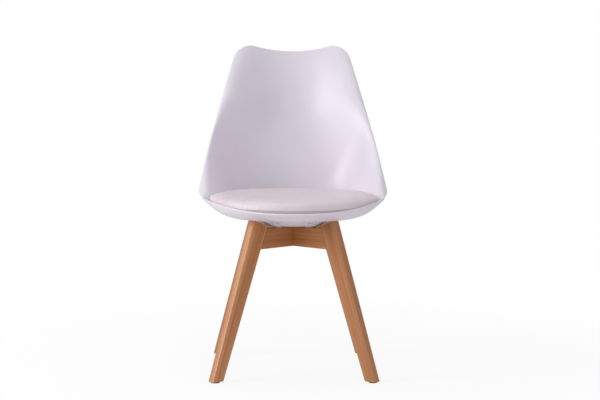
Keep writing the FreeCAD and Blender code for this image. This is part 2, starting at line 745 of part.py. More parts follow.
def build_leg(name, turn):
    """A tapered leg, square-topped, its outer edges rounded over, standing on its glide."""
    body = doc.addObject("PartDesign::Body", name)
    corners = [
        (f"{FOOT_INNER} - glide_thickness * tan(leg_inner_angle)", "glide_thickness"),
        ("foot_reach - glide_thickness * tan(leg_outer_angle)", "glide_thickness"),
        (f"foot_reach - {TOP_OUTER} * tan(leg_outer_angle)", TOP_OUTER),
        (f"{FOOT_INNER} - {TOP_INNER} * tan(leg_inner_angle)", TOP_INNER),
    ]
    outline = polygon_sketch(body, name + "_outline", corners)
    pad_both_ways(body, name + "_board", outline, "rail_thickness")
    round_edges(body, name + "_outer_rounding",
                lambda edge: on_line(edge, size("foot_reach"), size("leg_outer_angle")),
                "leg_round")
    round_edges(body, name + "_inner_arris",
                lambda edge: on_line(edge, value(FOOT_INNER), size("leg_inner_angle")),
                "wood_arris")
    drill_dowel_holes(body, 1)
    drill(body, "nail_hole", "nail_radius",
          "nail_depth + nail_head_thickness + nail_length - glide_thickness",
          FOOT_MIDDLE, "glide_thickness", "0")
    body.Placement = FreeCAD.Placement(Vector(), FreeCAD.Rotation(Vector(0, 0, 1), turn))
    kept(body, name)


def build_rail(name, turn, lap_from_below):
    """A cross rail, half-lapped in the middle, with two counterbored bolt holes."""
    body = doc.addObject("PartDesign::Body", name)
    end_low = f"({FOOT_INNER} - {RAIL_BOTTOM} * tan(leg_inner_angle))"
    end_high = f"({FOOT_INNER} - {TOP_INNER} * tan(leg_inner_angle))"
    right = [(end_low, RAIL_BOTTOM), (end_high, TOP_INNER), ("rail_flat", FRAME_TOP)]
    left = [(f"-1 * {x}", z) for x, z in reversed(right)]
    outline = polygon_sketch(body, name + "_outline", right + left)
    pad_both_ways(body, name + "_board", outline, "rail_thickness")
    half = "((rail_thickness + lap_clearance) / 2)"
    middle = f"({FRAME_TOP} - rail_height / 2)"
    beyond = "rail_thickness"
    if lap_from_below:
        low, high = f"({RAIL_BOTTOM} - {beyond})", f"({middle} + lap_clearance / 2)"
    else:
        low, high = f"({middle} - lap_clearance / 2)", f"({FRAME_TOP} + {beyond})"
    notch = polygon_sketch(body, name + "_lap", [(f"-1 * {half}", low), (half, low),
                                                 (half, high), (f"-1 * {half}", high)])
    pocket_both_ways(body, name + "_notch", notch, "2 * rail_thickness")
    for side, end in ((1, "right"), (-1, "left")):
        drill(body, f"bolt_hole_{end}", "bolt_radius + bolt_clearance", "2 * rail_height",
              f"{side} * bolt_circle", f"{RAIL_BOTTOM} - rail_height / 2", "0")
        drill(body, f"counterbore_{end}", "counterbore_radius",
              f"{BOLT_CEILING} - {RAIL_BOTTOM} + rail_height / 2",
              f"{side} * bolt_circle", f"{RAIL_BOTTOM} - rail_height / 2", "0")
        drill_dowel_holes(body, side)
    body.Placement = FreeCAD.Placement(Vector(), FreeCAD.Rotation(Vector(0, 0, 1), turn))
    kept(body, name)


def build_dowels():
    """Two beech dowels in each of the four joints."""
    dowels = []
    for turn in DIAGONALS:
        for x, z in dowel_places():
            out = f"({x} - dowel_length / 2 * cos(leg_inner_angle))"
            pin = cylinder(f"dowel_{len(dowels) + 1}", "dowel_radius", "dowel_length",
                           f"{out} * cos({turn})", f"{out} * sin({turn})",
                           f"{z} - dowel_length / 2 * sin(leg_inner_angle)")
            swing = Vector(-math.sin(math.radians(turn)), math.cos(math.radians(turn)), 0)
            pin.Placement = FreeCAD.Placement(pin.Placement.Base, FreeCAD.Rotation(swing, 60))
            tie(pin, Placement__Rotation__Angle=DOWEL_TURN)
            dowels.append(pin)
    group("rail_dowels", dowels)


def build_frame_fasteners():
    """Bolts with their washers from below the rails, and the inserts that they screw into."""
    bolts, flats, springs, inserts = [], [], [], []
    for number, (x, y) in enumerate(on_diagonals("bolt_circle"), start=1):
        tag = f"_{number}"
        head_low = f"{BOLT_HEAD_SEAT} - bolt_head_height"
        head = cone("bolt_head" + tag, "bolt_head_radius * 0.75", "bolt_head_radius",
                    "bolt_head_height", x, y, head_low)
        shank = cylinder("bolt_shank" + tag, "bolt_radius", "bolt_length", x, y, BOLT_HEAD_SEAT)
        socket = doc.addObject("Part::Prism", "bolt_socket" + tag)
        tie(socket, Circumradius="bolt_socket", Height="bolt_socket_depth")
        place(socket, x, y, head_low)
        bolts.append(cut("bolt" + tag, fused("bolt_blank" + tag, [head, shank]), socket))
        disc = cylinder("spring_disc" + tag, "spring_washer_radius", "spring_washer_thickness",
                        x, y, BOLT_HEAD_SEAT)
        bore = cylinder("spring_bore" + tag, "bolt_radius + thread_clearance",
                        "spring_washer_thickness", x, y, BOLT_HEAD_SEAT)
        split = box("spring_split" + tag, "2 * spring_washer_radius", "spring_washer_gap",
                    "spring_washer_thickness", f"{x} + spring_washer_radius", y, BOLT_HEAD_SEAT)
        springs.append(cut("spring" + tag, disc, fused("spring_cuts" + tag, [bore, split])))
        seat = f"{BOLT_HEAD_SEAT} + spring_washer_thickness"
        disc = cylinder("flat_disc" + tag, "washer_radius", "washer_thickness", x, y, seat)
        bore = cylinder("flat_bore" + tag, "bolt_radius + bolt_clearance", "washer_thickness",
                        x, y, seat)
        flats.append(cut("flat" + tag, disc, bore))
        body = cylinder("insert_body" + tag, "insert_radius", "insert_length", x, y, FRAME_TOP)
        thread = cylinder("insert_thread" + tag, "bolt_radius + thread_clearance",
                          "insert_length", x, y, FRAME_TOP)
        inserts.append(cut("insert" + tag, body, thread))
    group("frame_bolts", bolts)
    group("frame_spring_washers", springs)
    group("frame_flat_washers", flats)
    group("threaded_inserts", inserts)


def build_glides():
    """A nylon glide under each leg, held by its nail."""
    glides, nails = [], []
    head_low = "nail_depth"
    head_high = "(nail_depth + nail_head_thickness)"
    for number, (x, y) in enumerate(on_diagonals(FOOT_MIDDLE), start=1):
        tag = f"_{number}"
        bevel = cone("glide_bevel" + tag, "glide_radius - glide_arris", "glide_radius",
                     "glide_arris", x, y, "0")
        disc = cylinder("glide_disc" + tag, "glide_radius", "glide_thickness - glide_arris",
                        x, y, "glide_arris")
        bore = cylinder("glide_bore" + tag, "nail_radius + thread_clearance", "glide_thickness",
                        x, y, "0")
        recess = cylinder("glide_recess" + tag, "nail_head_radius + nail_head_play", head_high,
                          x, y, "0")
        glides.append(cut("glide" + tag, fused("glide_blank" + tag, [bevel, disc]),
                          fused("glide_cuts" + tag, [bore, recess])))
        head = cylinder("nail_head" + tag, "nail_head_radius", "nail_head_thickness",
                        x, y, head_low)
        shank = cylinder("nail_shank" + tag, "nail_radius", "nail_length", x, y, head_high)
        nails.append(fused("nail" + tag, [head, shank]))
    group("foot_glides", glides)
    group("foot_glide_nails", nails)


def check_document():
    """Stops before anything is written if a piece failed."""
    doc.recompute()
    for item in doc.Objects:
        if "Invalid" in item.State or "Error" in item.State:
            raise RuntimeError(f"{item.Label}: {item.State}")
    for item in nodes:
        shape = item.Shape
        if shape.isNull() or not shape.isValid() or not shape.Solids:
            raise RuntimeError(f"{item.Label}: no valid solid")


shell_form = ShellForm()
build_shell(shell_form)
build_pad(shell_form)
build_pad_fasteners()
build_leg("front_left_leg", 225)
build_leg("front_right_leg", 315)
build_leg("rear_left_leg", 135)
build_leg("rear_right_leg", 45)
build_rail("upper_cross_rail", 45, True)
build_rail("lower_cross_rail", 135, False)
build_dowels()
build_frame_fasteners()
build_glides()
check_document()

# The base is drawn about the middle of its feet, and the whole chair is handed over about the
# middle of its outline on the floor.
os.makedirs("parts", exist_ok=True)
for item in nodes:
    centred = item.Shape.copy()
    centred.translate(Vector(0, -size("origin_setback"), 0))
    centred.exportStep(f"parts/{item.Label}.step")
    print(f"{item.Label}: {len(item.Shape.Solids)} solid(s), {item.Shape.Volume / 1000:.1f} cm3")
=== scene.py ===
import math

import bmesh
import bpy
import numpy as np
from mathutils import Matrix, Vector
from mathutils.bvhtree import BVHTree


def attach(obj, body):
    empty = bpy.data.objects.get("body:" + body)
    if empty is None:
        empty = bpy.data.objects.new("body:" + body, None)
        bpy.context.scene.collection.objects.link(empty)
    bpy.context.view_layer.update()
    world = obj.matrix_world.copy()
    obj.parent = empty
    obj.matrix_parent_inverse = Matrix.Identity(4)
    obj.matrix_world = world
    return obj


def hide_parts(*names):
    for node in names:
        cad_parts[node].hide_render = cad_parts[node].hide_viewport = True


# Shell chair: white moulded shell, padded seat in white synthetic leather, crossing beech base.
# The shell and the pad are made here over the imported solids; the base keeps its solids.

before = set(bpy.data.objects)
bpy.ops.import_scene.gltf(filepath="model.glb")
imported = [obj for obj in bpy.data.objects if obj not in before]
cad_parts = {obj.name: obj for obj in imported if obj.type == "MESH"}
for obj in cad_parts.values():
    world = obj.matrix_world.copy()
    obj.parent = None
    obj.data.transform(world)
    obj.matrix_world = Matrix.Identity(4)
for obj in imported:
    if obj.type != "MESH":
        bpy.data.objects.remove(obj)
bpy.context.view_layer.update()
MM = 0.001
SETBACK = 24.84  # the origin lies this far behind the middle of the feet, in millimetres


# Shell, by the same rule as the solid: lengths in millimetres, measured from the feet's middle

WALL = 5.0
HIP = (242.5, 12.0, 443.0)
LIP_Y, LIP_Z = -235.0, 418.0
RIM_SWEEP = math.radians(70)
RIM_RISE_POWER = 2.4
PAN_Z = 393.0
LIP_RADIUS = 157.0
BACK_FOOT_Y = 178.0
BEND_RADIUS = 110.0
RECLINE = math.radians(14)
TOP_Z = 827.0
TOP_OVERRUN = 13.0
TOP_CORNER_RADIUS = 47.0
TOP_DIP = math.radians(15)
WING_TOP_X = 143.0
WING_LEAD = 25.0
DISH_DEPTH, DISH_FLAT, DISH_FLANK, DISH_SQUARENESS = 20.0, 58.0, 50.0, 5
TURN_START, TURN_SPAN = 0.38, 0.42
PAN_MIDDLE, PAN_EDGE, PAN_ROLL = 6.0, 14.0, 1.05
BACK_MIDDLE, BACK_EDGE, BACK_ROLL = 2.3, 4.0, 1.45
CENTRE_SPACING, EDGE_SPACING = 1.18, 1.48
EDGE_NARROWING, EDGE_SETBACK = 1.17, 0.85
RIM_DEPTH, RIM_SPREAD = 0.36, 0.7
TOP_TAIL = math.radians(6)  # beyond the corner the limit leans this much more than the side

# Insert bosses and washer seats: outer radius, hole radius, bottom, height and edge rounding
BOLT_CIRCLE_RADIUS = 60.0
BOSS_RADIUS, BOSS_HOLE, BOSS_BOTTOM, BOSS_HEIGHT, BOSS_ROUND = 13.0, 4.6, 365.5, 13.0, 0.7
SEAT_RADIUS, SEAT_HOLE, SEAT_BOTTOM, SEAT_HEIGHT, SEAT_ROUND = 9.0, 3.0, 384.5, 6.0, 0.5
PAD_SCREW_X, PAD_SCREW_FRONT, PAD_SCREW_BACK = 40.0, 120.0, 104.0

SHELL_ROWS, SHELL_COLUMNS, RIM_STEPS = 128, 132, 8
SIDE_CROWDING = 0.15  # how strongly the mesh's columns crowd towards the sides

LIP_TURN = math.acos(1 - (LIP_Z - PAN_Z) / LIP_RADIUS)
PAN_FRONT = LIP_Y + LIP_RADIUS * math.sin(LIP_TURN)
BEND_TURN = math.pi / 2 - RECLINE
PAN_LENGTH = BACK_FOOT_Y - BEND_RADIUS * math.tan(BEND_TURN / 2) - PAN_FRONT
BEND_TOP = PAN_Z + BEND_RADIUS * (1 - math.cos(BEND_TURN))
LIP_LENGTH = LIP_RADIUS * LIP_TURN
BEND_LENGTH = BEND_RADIUS * BEND_TURN
BACK_LENGTH = (TOP_Z + TOP_OVERRUN - BEND_TOP) / math.cos(RECLINE)
RIM_X = HIP[0] / math.sin(RIM_SWEEP)
RIM_Y = (HIP[1] - LIP_Y) / (1 - math.cos(RIM_SWEEP))


def eased(fraction):
    """A share from 0 to 1 that starts and ends level."""
    fraction = np.clip(fraction, 0, 1)
    return fraction * fraction * (3 - 2 * fraction)


def centre_line(u):
    """Depth and height of the middle of the shell: lip, level pan, bend and straight back."""
    along = (LIP_LENGTH + PAN_LENGTH + BEND_LENGTH + BACK_LENGTH) * u ** CENTRE_SPACING
    lip_turn = LIP_TURN - np.minimum(along, LIP_LENGTH) / LIP_RADIUS
    up = np.maximum(along - LIP_LENGTH - PAN_LENGTH, 0)
    turn = np.minimum(up / BEND_RADIUS, BEND_TURN)
    run = np.maximum(up - BEND_LENGTH, 0)
    y = (PAN_FRONT - LIP_RADIUS * np.sin(lip_turn) + np.clip(along - LIP_LENGTH, 0, PAN_LENGTH)
         + BEND_RADIUS * np.sin(turn) + run * np.cos(turn))
    z = (PAN_Z + LIP_RADIUS * (1 - np.cos(lip_turn))
         + BEND_RADIUS * (1 - np.cos(turn)) + run * np.sin(turn))
    return y, z


WING_TOP_Y = float(centre_line(np.array(1.0))[0]) - WING_LEAD
WING_TOP_Z = TOP_Z + TOP_OVERRUN


def section(u, v):
    """Share of the way from the centre line to the side edge; the edge rolls outward."""
    back = eased((u - TURN_START) / TURN_SPAN)
    middle = PAN_MIDDLE + (BACK_MIDDLE - PAN_MIDDLE) * back
    edge = PAN_EDGE + (BACK_EDGE - PAN_EDGE) * back
    roll = PAN_ROLL + (BACK_ROLL - PAN_ROLL) * back
    weight = middle / (edge - middle) * roll
    return (1 + weight) * v ** middle - weight * v ** edge


def shell_point(u, v):
    """Inner face of the shell, u from the front rim up and v from side to side."""
    u, v = np.broadcast_arrays(np.asarray(u, float), np.asarray(v, float))
    side = np.abs(v)
    centre_y, centre_z = centre_line(u)
    rise = u ** EDGE_SPACING
    edge_x = HIP[0] - (HIP[0] - WING_TOP_X) * rise ** EDGE_NARROWING
    edge_y = HIP[1] + (WING_TOP_Y - HIP[1]) * rise ** EDGE_SETBACK
    edge_z = HIP[2] + (WING_TOP_Z - HIP[2]) * rise
    share = section(u, side)
    x = edge_x * side
    y = centre_y + (edge_y - centre_y) * share
    z = centre_z + (edge_z - centre_z) * share
    front = section(np.zeros_like(u), side)
    turn = side * RIM_SWEEP
    rim_x = RIM_X * np.sin(turn)
    spread = np.clip(1 - u / RIM_SPREAD, 0, 1) ** 2
    depth = np.clip(1 - u / RIM_DEPTH, 0, 1) ** 3
    climb = (rim_x / HIP[0]) ** RIM_RISE_POWER
    x = x + spread * (rim_x - HIP[0] * side)
    y = y + spread * (RIM_Y * (1 - np.cos(turn)) - (HIP[1] - LIP_Y) * front)
    z = z + depth * (HIP[2] - LIP_Z) * (climb - front)
    out = (np.abs(x) ** DISH_SQUARENESS + np.abs(y) ** DISH_SQUARENESS) ** (1 / DISH_SQUARENESS)
    z = z - DISH_DEPTH * (1 - eased((out - DISH_FLAT) / DISH_FLANK))
    return np.stack([x * np.sign(v), y, z], -1)


def edge_slope(height):
    """Half width of the shell at a height, and how far its side edge leans in there."""
    rise = (height - HIP[2]) / (WING_TOP_Z - HIP[2])
    narrowing = HIP[0] - WING_TOP_X
    slope = narrowing * EDGE_NARROWING * rise ** (EDGE_NARROWING - 1) / (WING_TOP_Z - HIP[2])
    return HIP[0] - narrowing * rise ** EDGE_NARROWING, math.atan(slope)


def top_limit():
    """Height of the top edge over each distance from the middle: a dip between two corners."""
    lean, settling_rounds = RECLINE, 6
    for step in range(settling_rounds):
        half_width, lean = edge_slope(TOP_Z - TOP_CORNER_RADIUS * (1 - math.sin(lean)))
    middle_x = half_width - TOP_CORNER_RADIUS * math.cos(lean)
    middle_z = TOP_Z - TOP_CORNER_RADIUS
    inner_x = middle_x - TOP_CORNER_RADIUS * math.sin(TOP_DIP)
    inner_z = middle_z + TOP_CORNER_RADIUS * math.cos(TOP_DIP)
    dip_radius = inner_x / math.sin(TOP_DIP)
    outer_x = middle_x + TOP_CORNER_RADIUS * math.cos(lean)
    outer_z = middle_z + TOP_CORNER_RADIUS * math.sin(lean)

    def limit(x):
        x = np.abs(x)
        dip = inner_z + dip_radius * math.cos(TOP_DIP) - np.sqrt(
            np.maximum(dip_radius ** 2 - x ** 2, 0))
        corner = middle_z + np.sqrt(np.maximum(TOP_CORNER_RADIUS ** 2 - (x - middle_x) ** 2, 0))
        side = outer_z - (x - outer_x) / math.tan(lean + TOP_TAIL)
        return np.where(x < inner_x, dip, np.where(x < outer_x, corner, side))
    return limit


def top_reach(v):
    """How far up each line of the shell runs before the top edge ends it."""
    limit = top_limit()
    lowest, halvings = 0.6, 40
    low, high = np.full_like(v, lowest), np.ones_like(v)
    for step in range(halvings):
        middle = (low + high) / 2
        point = shell_point(middle, v)
        beyond = point[..., 2] > limit(point[..., 0])
        low, high = np.where(beyond, low, middle), np.where(beyond, middle, high)
    return low


def slopes(u, v, step=1e-4):
    """How the inner face runs on along u and along v."""
    along = shell_point(u + step, v) - shell_point(np.maximum(u - step, 0), v)
    along /= (step + np.minimum(u, step))[..., None]
    across = (shell_point(u, v + step) - shell_point(u, v - step)) / (2 * step)
    return along, across


def unit(vectors):
    return vectors / np.linalg.norm(vectors, axis=-1, keepdims=True)


def shell_mesh(rows, columns, rim_steps):
    """The moulding as one closed skin: inner face, outer face and a half-round rim between."""
    radius = WALL / 2
    spread = np.linspace(-1, 1, columns + 1)
    across = spread * (1 + SIDE_CROWDING - SIDE_CROWDING * spread ** 2)
    rise = np.linspace(0, 1, rows + 1)[:, None]
    front_inset = radius / np.linalg.norm(slopes(np.zeros_like(across), across)[0], axis=-1)
    top = top_reach(across)
    top_inset = radius / np.linalg.norm(slopes(top, across)[0], axis=-1)
    u = front_inset + (top - top_inset - front_inset) * rise
    near_side = np.full((rows + 1, 1), 1 - 1e-3)
    side_inset = radius / np.linalg.norm(slopes(u[:, -1:], near_side)[1], axis=-1)
    v = across[None, :] * (1 - side_inset)
    inner = shell_point(u, v)
    along, over = slopes(u, v)
    normal = unit(np.cross(along, over))
    # out through the wall is down where one sits
    if normal[rows // 6, columns // 2, 2] > 0:
        normal = -normal
    outer = inner + WALL * normal

    count = (rows + 1) * (columns + 1)
    index = np.arange(count).reshape(rows + 1, columns + 1)
    # once round the sheet's edge
    loop = [index[0, j] for j in range(columns)]
    loop += [index[i, columns] for i in range(rows)]
    loop += [index[rows, j] for j in range(columns, 0, -1)]
    loop += [index[i, 0] for i in range(rows, 0, -1)]
    loop = np.array(loop)
    flat, normals = inner.reshape(-1, 3), normal.reshape(-1, 3)
    edge, edge_normal = flat[loop], normals[loop]
    onward = unit(np.roll(edge, -1, 0) - np.roll(edge, 1, 0))
    outward = unit(np.cross(edge_normal, onward))
    middle = inner[rows // 2, columns // 2]
    away = np.einsum("ij,ij->i", outward, edge - middle)
    if np.median(away) < 0:
        outward = -outward

    points = [flat, outer.reshape(-1, 3)]
    rings = [loop]
    for step in range(1, rim_steps):
        turn = math.pi * step / rim_steps
        ring = edge + radius * (edge_normal * (1 - math.cos(turn)) + outward * math.sin(turn))
        rings.append(2 * count + (step - 1) * len(loop) + np.arange(len(loop)))
        points.append(ring)
    rings.append(loop + count)

    faces = []
    quads = np.stack([index[:-1, :-1], index[:-1, 1:], index[1:, 1:], index[1:, :-1]],
                     -1).reshape(-1, 4)
    faces += quads.tolist()
    faces += (quads[:, ::-1] + count).tolist()
    for low, high in zip(rings, rings[1:]):
        after_low, after_high = np.roll(low, -1), np.roll(high, -1)
        faces += np.stack([after_low, low, high, after_high], -1).tolist()
    return (np.concatenate(points) - (0, SETBACK, 0)) * MM, faces


def face_outward(mesh):
    """Turns a closed mesh's faces outward."""
    work = bmesh.new()
    work.from_mesh(mesh)
    bmesh.ops.recalc_face_normals(work, faces=work.faces)
    work.to_mesh(mesh)
    work.free()


# Node trees

def colour(text):
    """An sRGB hex value as linear RGBA."""
    parts = [int(text[i:i + 2], 16) / 255 for i in (1, 3, 5)]
    return [p / 12.92 if p <= 0.04045 else ((p + 0.055) / 1.055) ** 2.4 for p in parts] + [1.0]


def add(tree, kind, settings=None, links=None, stops=None, **properties):
    """Adds a node with its properties, input values and incoming links. The stops of a colour
    ramp are places from 0 to 1 with their tones, which are colours or plain numbers."""
    made = tree.nodes.new(kind)
    for name, given in properties.items():
        setattr(made, name, given)
    for name, given in (settings or {}).items():
        made.inputs[name].default_value = given
    for name, source in (links or {}).items():
        tree.links.new(source, made.inputs[name])
    if stops:
        elements = made.color_ramp.elements
        while len(elements) < len(stops):
            elements.new(0.5)
        for element, (place, tone) in zip(elements, stops):
            element.position = place
            element.color = tone if isinstance(tone, list) else [tone, tone, tone, 1.0]
    return made


def material(name):
    """A new material and its empty tree."""
    made = bpy.data.materials.new(name)
    made.use_nodes = True
    made.node_tree.nodes.clear()
    return made, made.node_tree


def finish_surface(tree, settings, links):
    """Ends a tree in its shader."""
    shader = add(tree, "ShaderNodeBsdfPrincipled", settings, links)
    add(tree, "ShaderNodeOutputMaterial", {}, {"Surface": shader.outputs["BSDF"]})


# Small rings that are moulded on the underside, repeated from one tree

def ring_tree(plastic):
    """A ring with softened edges on every point, with named sizes."""
    tree = bpy.data.node_groups.new("moulded_rings", "GeometryNodeTree")
    sockets = {}
    tree.interface.new_socket("Geometry", in_out="INPUT", socket_type="NodeSocketGeometry")
    for name in ("Middle radius", "Width", "Height", "Edge radius"):
        socket = tree.interface.new_socket(name, in_out="INPUT", socket_type="NodeSocketFloat")
        sockets[name] = socket.identifier
    tree.interface.new_socket("Geometry", in_out="OUTPUT", socket_type="NodeSocketGeometry")
    given = add(tree, "NodeGroupInput")
    path = add(tree, "GeometryNodeCurvePrimitiveCircle", {"Resolution": 48},
               {"Radius": given.outputs["Middle radius"]})
    profile = add(tree, "GeometryNodeCurvePrimitiveQuadrilateral", {},
                  {"Width": given.outputs["Width"], "Height": given.outputs["Height"]})
    soft = add(tree, "GeometryNodeFilletCurve", {"Count": 3, "Limit Radius": True},
               {"Curve": profile.outputs["Curve"], "Radius": given.outputs["Edge radius"]},
               mode="POLY")
    ring = add(tree, "GeometryNodeCurveToMesh", {},
               {"Curve": path.outputs["Curve"], "Profile Curve": soft.outputs["Curve"]})
    spots = add(tree, "GeometryNodeMeshToPoints", {}, {"Mesh": given.outputs["Geometry"]})
    many = add(tree, "GeometryNodeInstanceOnPoints", {},
               {"Points": spots.outputs["Points"], "Instance": ring.outputs["Mesh"]})
    real = add(tree, "GeometryNodeRealizeInstances", {},
               {"Geometry": many.outputs["Instances"]})
    finish = add(tree, "GeometryNodeSetMaterial", {"Material": plastic},
                 {"Geometry": real.outputs["Geometry"]})
    add(tree, "NodeGroupOutput", {}, {"Geometry": finish.outputs["Geometry"]})
    return tree, sockets


def moulded_rings(name, places, radius, hole, height, rounding, tree, sockets):
    """A plain mesh of rings at places in millimetres, which are the rings' middles."""
    sizes = {"Middle radius": (radius + hole) / 2, "Width": radius - hole, "Height": height,
             "Edge radius": rounding}
    mesh = bpy.data.meshes.new(name)
    mesh.from_pydata([Vector(place) * MM for place in places], [], [])
    item = bpy.data.objects.new(name, mesh)
    bpy.context.scene.collection.objects.link(item)
    modifier = item.modifiers.new("rings", "NODES")
    modifier.node_group = tree
    for label, number in sizes.items():
        modifier[sockets[label]] = number * MM
    graph = bpy.context.evaluated_depsgraph_get()
    result = bpy.data.meshes.new_from_object(item.evaluated_get(graph))
    bpy.data.objects.remove(item)
    return result


def moulded_shell(plastic):
    """The whole moulding: the skin with its insert bosses and washer seats."""
    points, faces = shell_mesh(SHELL_ROWS, SHELL_COLUMNS, RIM_STEPS)
    skin = bpy.data.meshes.new("shell_skin")
    skin.from_pydata(points.tolist(), [], faces)
    face_outward(skin)
    tree, sockets = ring_tree(plastic)
    reach = BOLT_CIRCLE_RADIUS * math.cos(math.pi / 4)
    boss_places = [(x * reach, y * reach - SETBACK, BOSS_BOTTOM + BOSS_HEIGHT / 2)
                   for x in (-1, 1) for y in (-1, 1)]
    seat_places = [(x * PAD_SCREW_X, y - SETBACK, SEAT_BOTTOM + SEAT_HEIGHT / 2)
                   for x in (-1, 1) for y in (-PAD_SCREW_FRONT, PAD_SCREW_BACK)]
    bosses = moulded_rings("insert_bosses", boss_places, BOSS_RADIUS, BOSS_HOLE, BOSS_HEIGHT,
                           BOSS_ROUND, tree, sockets)
    seats = moulded_rings("washer_seats", seat_places, SEAT_RADIUS, SEAT_HOLE, SEAT_HEIGHT,
                          SEAT_ROUND, tree, sockets)
    work = bmesh.new()
    for mesh in (skin, bosses, seats):
        work.from_mesh(mesh)
    joined = bpy.data.meshes.new("moulded_shell")
    work.to_mesh(joined)
    work.free()
    joined.materials.append(plastic)
    joined.shade_smooth()
    shell = bpy.data.objects.new("moulded_shell", joined)
    bpy.context.scene.collection.objects.link(shell)
    return shell


# Materials

WAVE_PERIOD = 0.314  # metres from band to band in a wave texture of scale 1


def moulded_polypropylene():
    """White polypropylene from a lightly textured mould: satin, faintly uneven, a little light
    goes into the wall."""
    made, tree = material("white_moulded_polypropylene")
    place = add(tree, "ShaderNodeTexCoord").outputs["Object"]
    flow = add(tree, "ShaderNodeTexNoise", {"Scale": 9.0, "Detail": 3.0}, {"Vector": place})
    # the mould's spark-eroded grain, about 0.8 mm from peak to peak
    grain = add(tree, "ShaderNodeTexNoise", {"Scale": 1 / (0.8 * MM), "Detail": 2.0},
                {"Vector": place})
    tint = add(tree, "ShaderNodeValToRGB", {}, {"Fac": flow.outputs["Fac"]},
               [(0.3, colour("#DFD8E4")), (0.7, colour("#E4DEE8"))])
    gloss = add(tree, "ShaderNodeValToRGB", {}, {"Fac": flow.outputs["Fac"]},
                [(0.3, 0.34), (0.7, 0.42)])
    fine = add(tree, "ShaderNodeBump", {"Strength": 1.0, "Distance": 0.02 * MM},
               {"Height": grain.outputs["Fac"]})
    relief = add(tree, "ShaderNodeBump", {"Strength": 1.0, "Distance": 0.25 * MM},
                 {"Height": flow.outputs["Fac"], "Normal": fine.outputs["Normal"]})
    finish_surface(tree, {"IOR": 1.49, "Subsurface Weight": 0.06,
                          "Subsurface Radius": (1.0, 0.85, 0.8), "Subsurface Scale": 2 * MM},
                   {"Base Color": tint.outputs["Color"], "Roughness": gloss.outputs["Color"],
                    "Normal": relief.outputs["Normal"]})
    return made


# The plane in which the pad's top meets its underside, in millimetres
PAD_EDGE_Z, PAD_TILT, PAD_MIDDLE_Y = 431.0, math.radians(2.9), -27.5 - SETBACK
# The sewn line: how far below that plane it lies, its half width, and where its dip ends
SEAM_DROP, SEAM_HALF_WIDTH, SEAM_SHOULDER = 2.5, 0.2, 1.1


def synthetic_leather():
    """White polyurethane leather: a fine pebbled grain with a soft shine, and a sewn seam where
    the top meets the underside, whose groove is darkened with painted shade."""
    made, tree = material("white_polyurethane_leather")
    place = add(tree, "ShaderNodeTexCoord").outputs["Object"]
    # pebbles of 1.6 mm, a little coarser than the real 1 mm so that they show
    pebbles = add(tree, "ShaderNodeTexVoronoi", {"Scale": 1 / (1.6 * MM), "Randomness": 0.9},
                  {"Vector": place}, feature="DISTANCE_TO_EDGE")
    creases = add(tree, "ShaderNodeValToRGB", {}, {"Fac": pebbles.outputs["Distance"]},
                  [(0.0, 0.0), (0.22, 1.0)])
    cloud = add(tree, "ShaderNodeTexNoise", {"Scale": 14.0, "Detail": 4.0}, {"Vector": place})
    tint = add(tree, "ShaderNodeValToRGB", {}, {"Fac": cloud.outputs["Fac"]},
               [(0.32, colour("#DDD0D6")), (0.68, colour("#E5D9DE"))])
    # height above the seam, whose plane climbs towards the back
    parts = add(tree, "ShaderNodeSeparateXYZ", {}, {"Vector": place})
    climb = add(tree, "ShaderNodeMath", {1: -math.tan(PAD_TILT)},
                {0: parts.outputs["Y"]}, operation="MULTIPLY")
    base = (PAD_EDGE_Z - PAD_MIDDLE_Y * math.tan(PAD_TILT) - SEAM_DROP) * MM
    level = add(tree, "ShaderNodeMath", {}, {0: parts.outputs["Z"], 1: climb.outputs[0]},
                operation="ADD")
    gap = add(tree, "ShaderNodeMath", {1: base}, {0: level.outputs[0]}, operation="SUBTRACT")
    away = add(tree, "ShaderNodeMath", {}, {0: gap.outputs[0]}, operation="ABSOLUTE")
    seam = add(tree, "ShaderNodeMapRange",
               {"From Min": SEAM_HALF_WIDTH * MM, "From Max": SEAM_SHOULDER * MM},
               {"Value": away.outputs[0]}, interpolation_type="SMOOTHSTEP")
    # Painted shade: the cover is drawn darker in the seam's groove.
    painted_seam_shade = add(tree, "ShaderNodeMix", {"A": colour("#C9BAC2")},
               {"Factor": seam.outputs["Result"], "B": tint.outputs["Color"]}, data_type="RGBA")
    gloss = add(tree, "ShaderNodeValToRGB", {}, {"Fac": cloud.outputs["Fac"]},
                [(0.3, 0.36), (0.7, 0.46)])
    pebbled = add(tree, "ShaderNodeBump", {"Strength": 1.0, "Distance": 0.06 * MM},
                  {"Height": creases.outputs["Color"]})
    rolling = add(tree, "ShaderNodeBump", {"Strength": 1.0, "Distance": 0.6 * MM},
                  {"Height": cloud.outputs["Fac"], "Normal": pebbled.outputs["Normal"]})
    relief = add(tree, "ShaderNodeBump", {"Strength": 1.0, "Distance": 0.7 * MM},
                 {"Height": seam.outputs["Result"], "Normal": rolling.outputs["Normal"]})
    finish_surface(tree, {"IOR": 1.5},
                   {"Base Color": painted_seam_shade.outputs["Result"], "Roughness": gloss.outputs["Color"],
                    "Normal": relief.outputs["Normal"]})
    return made


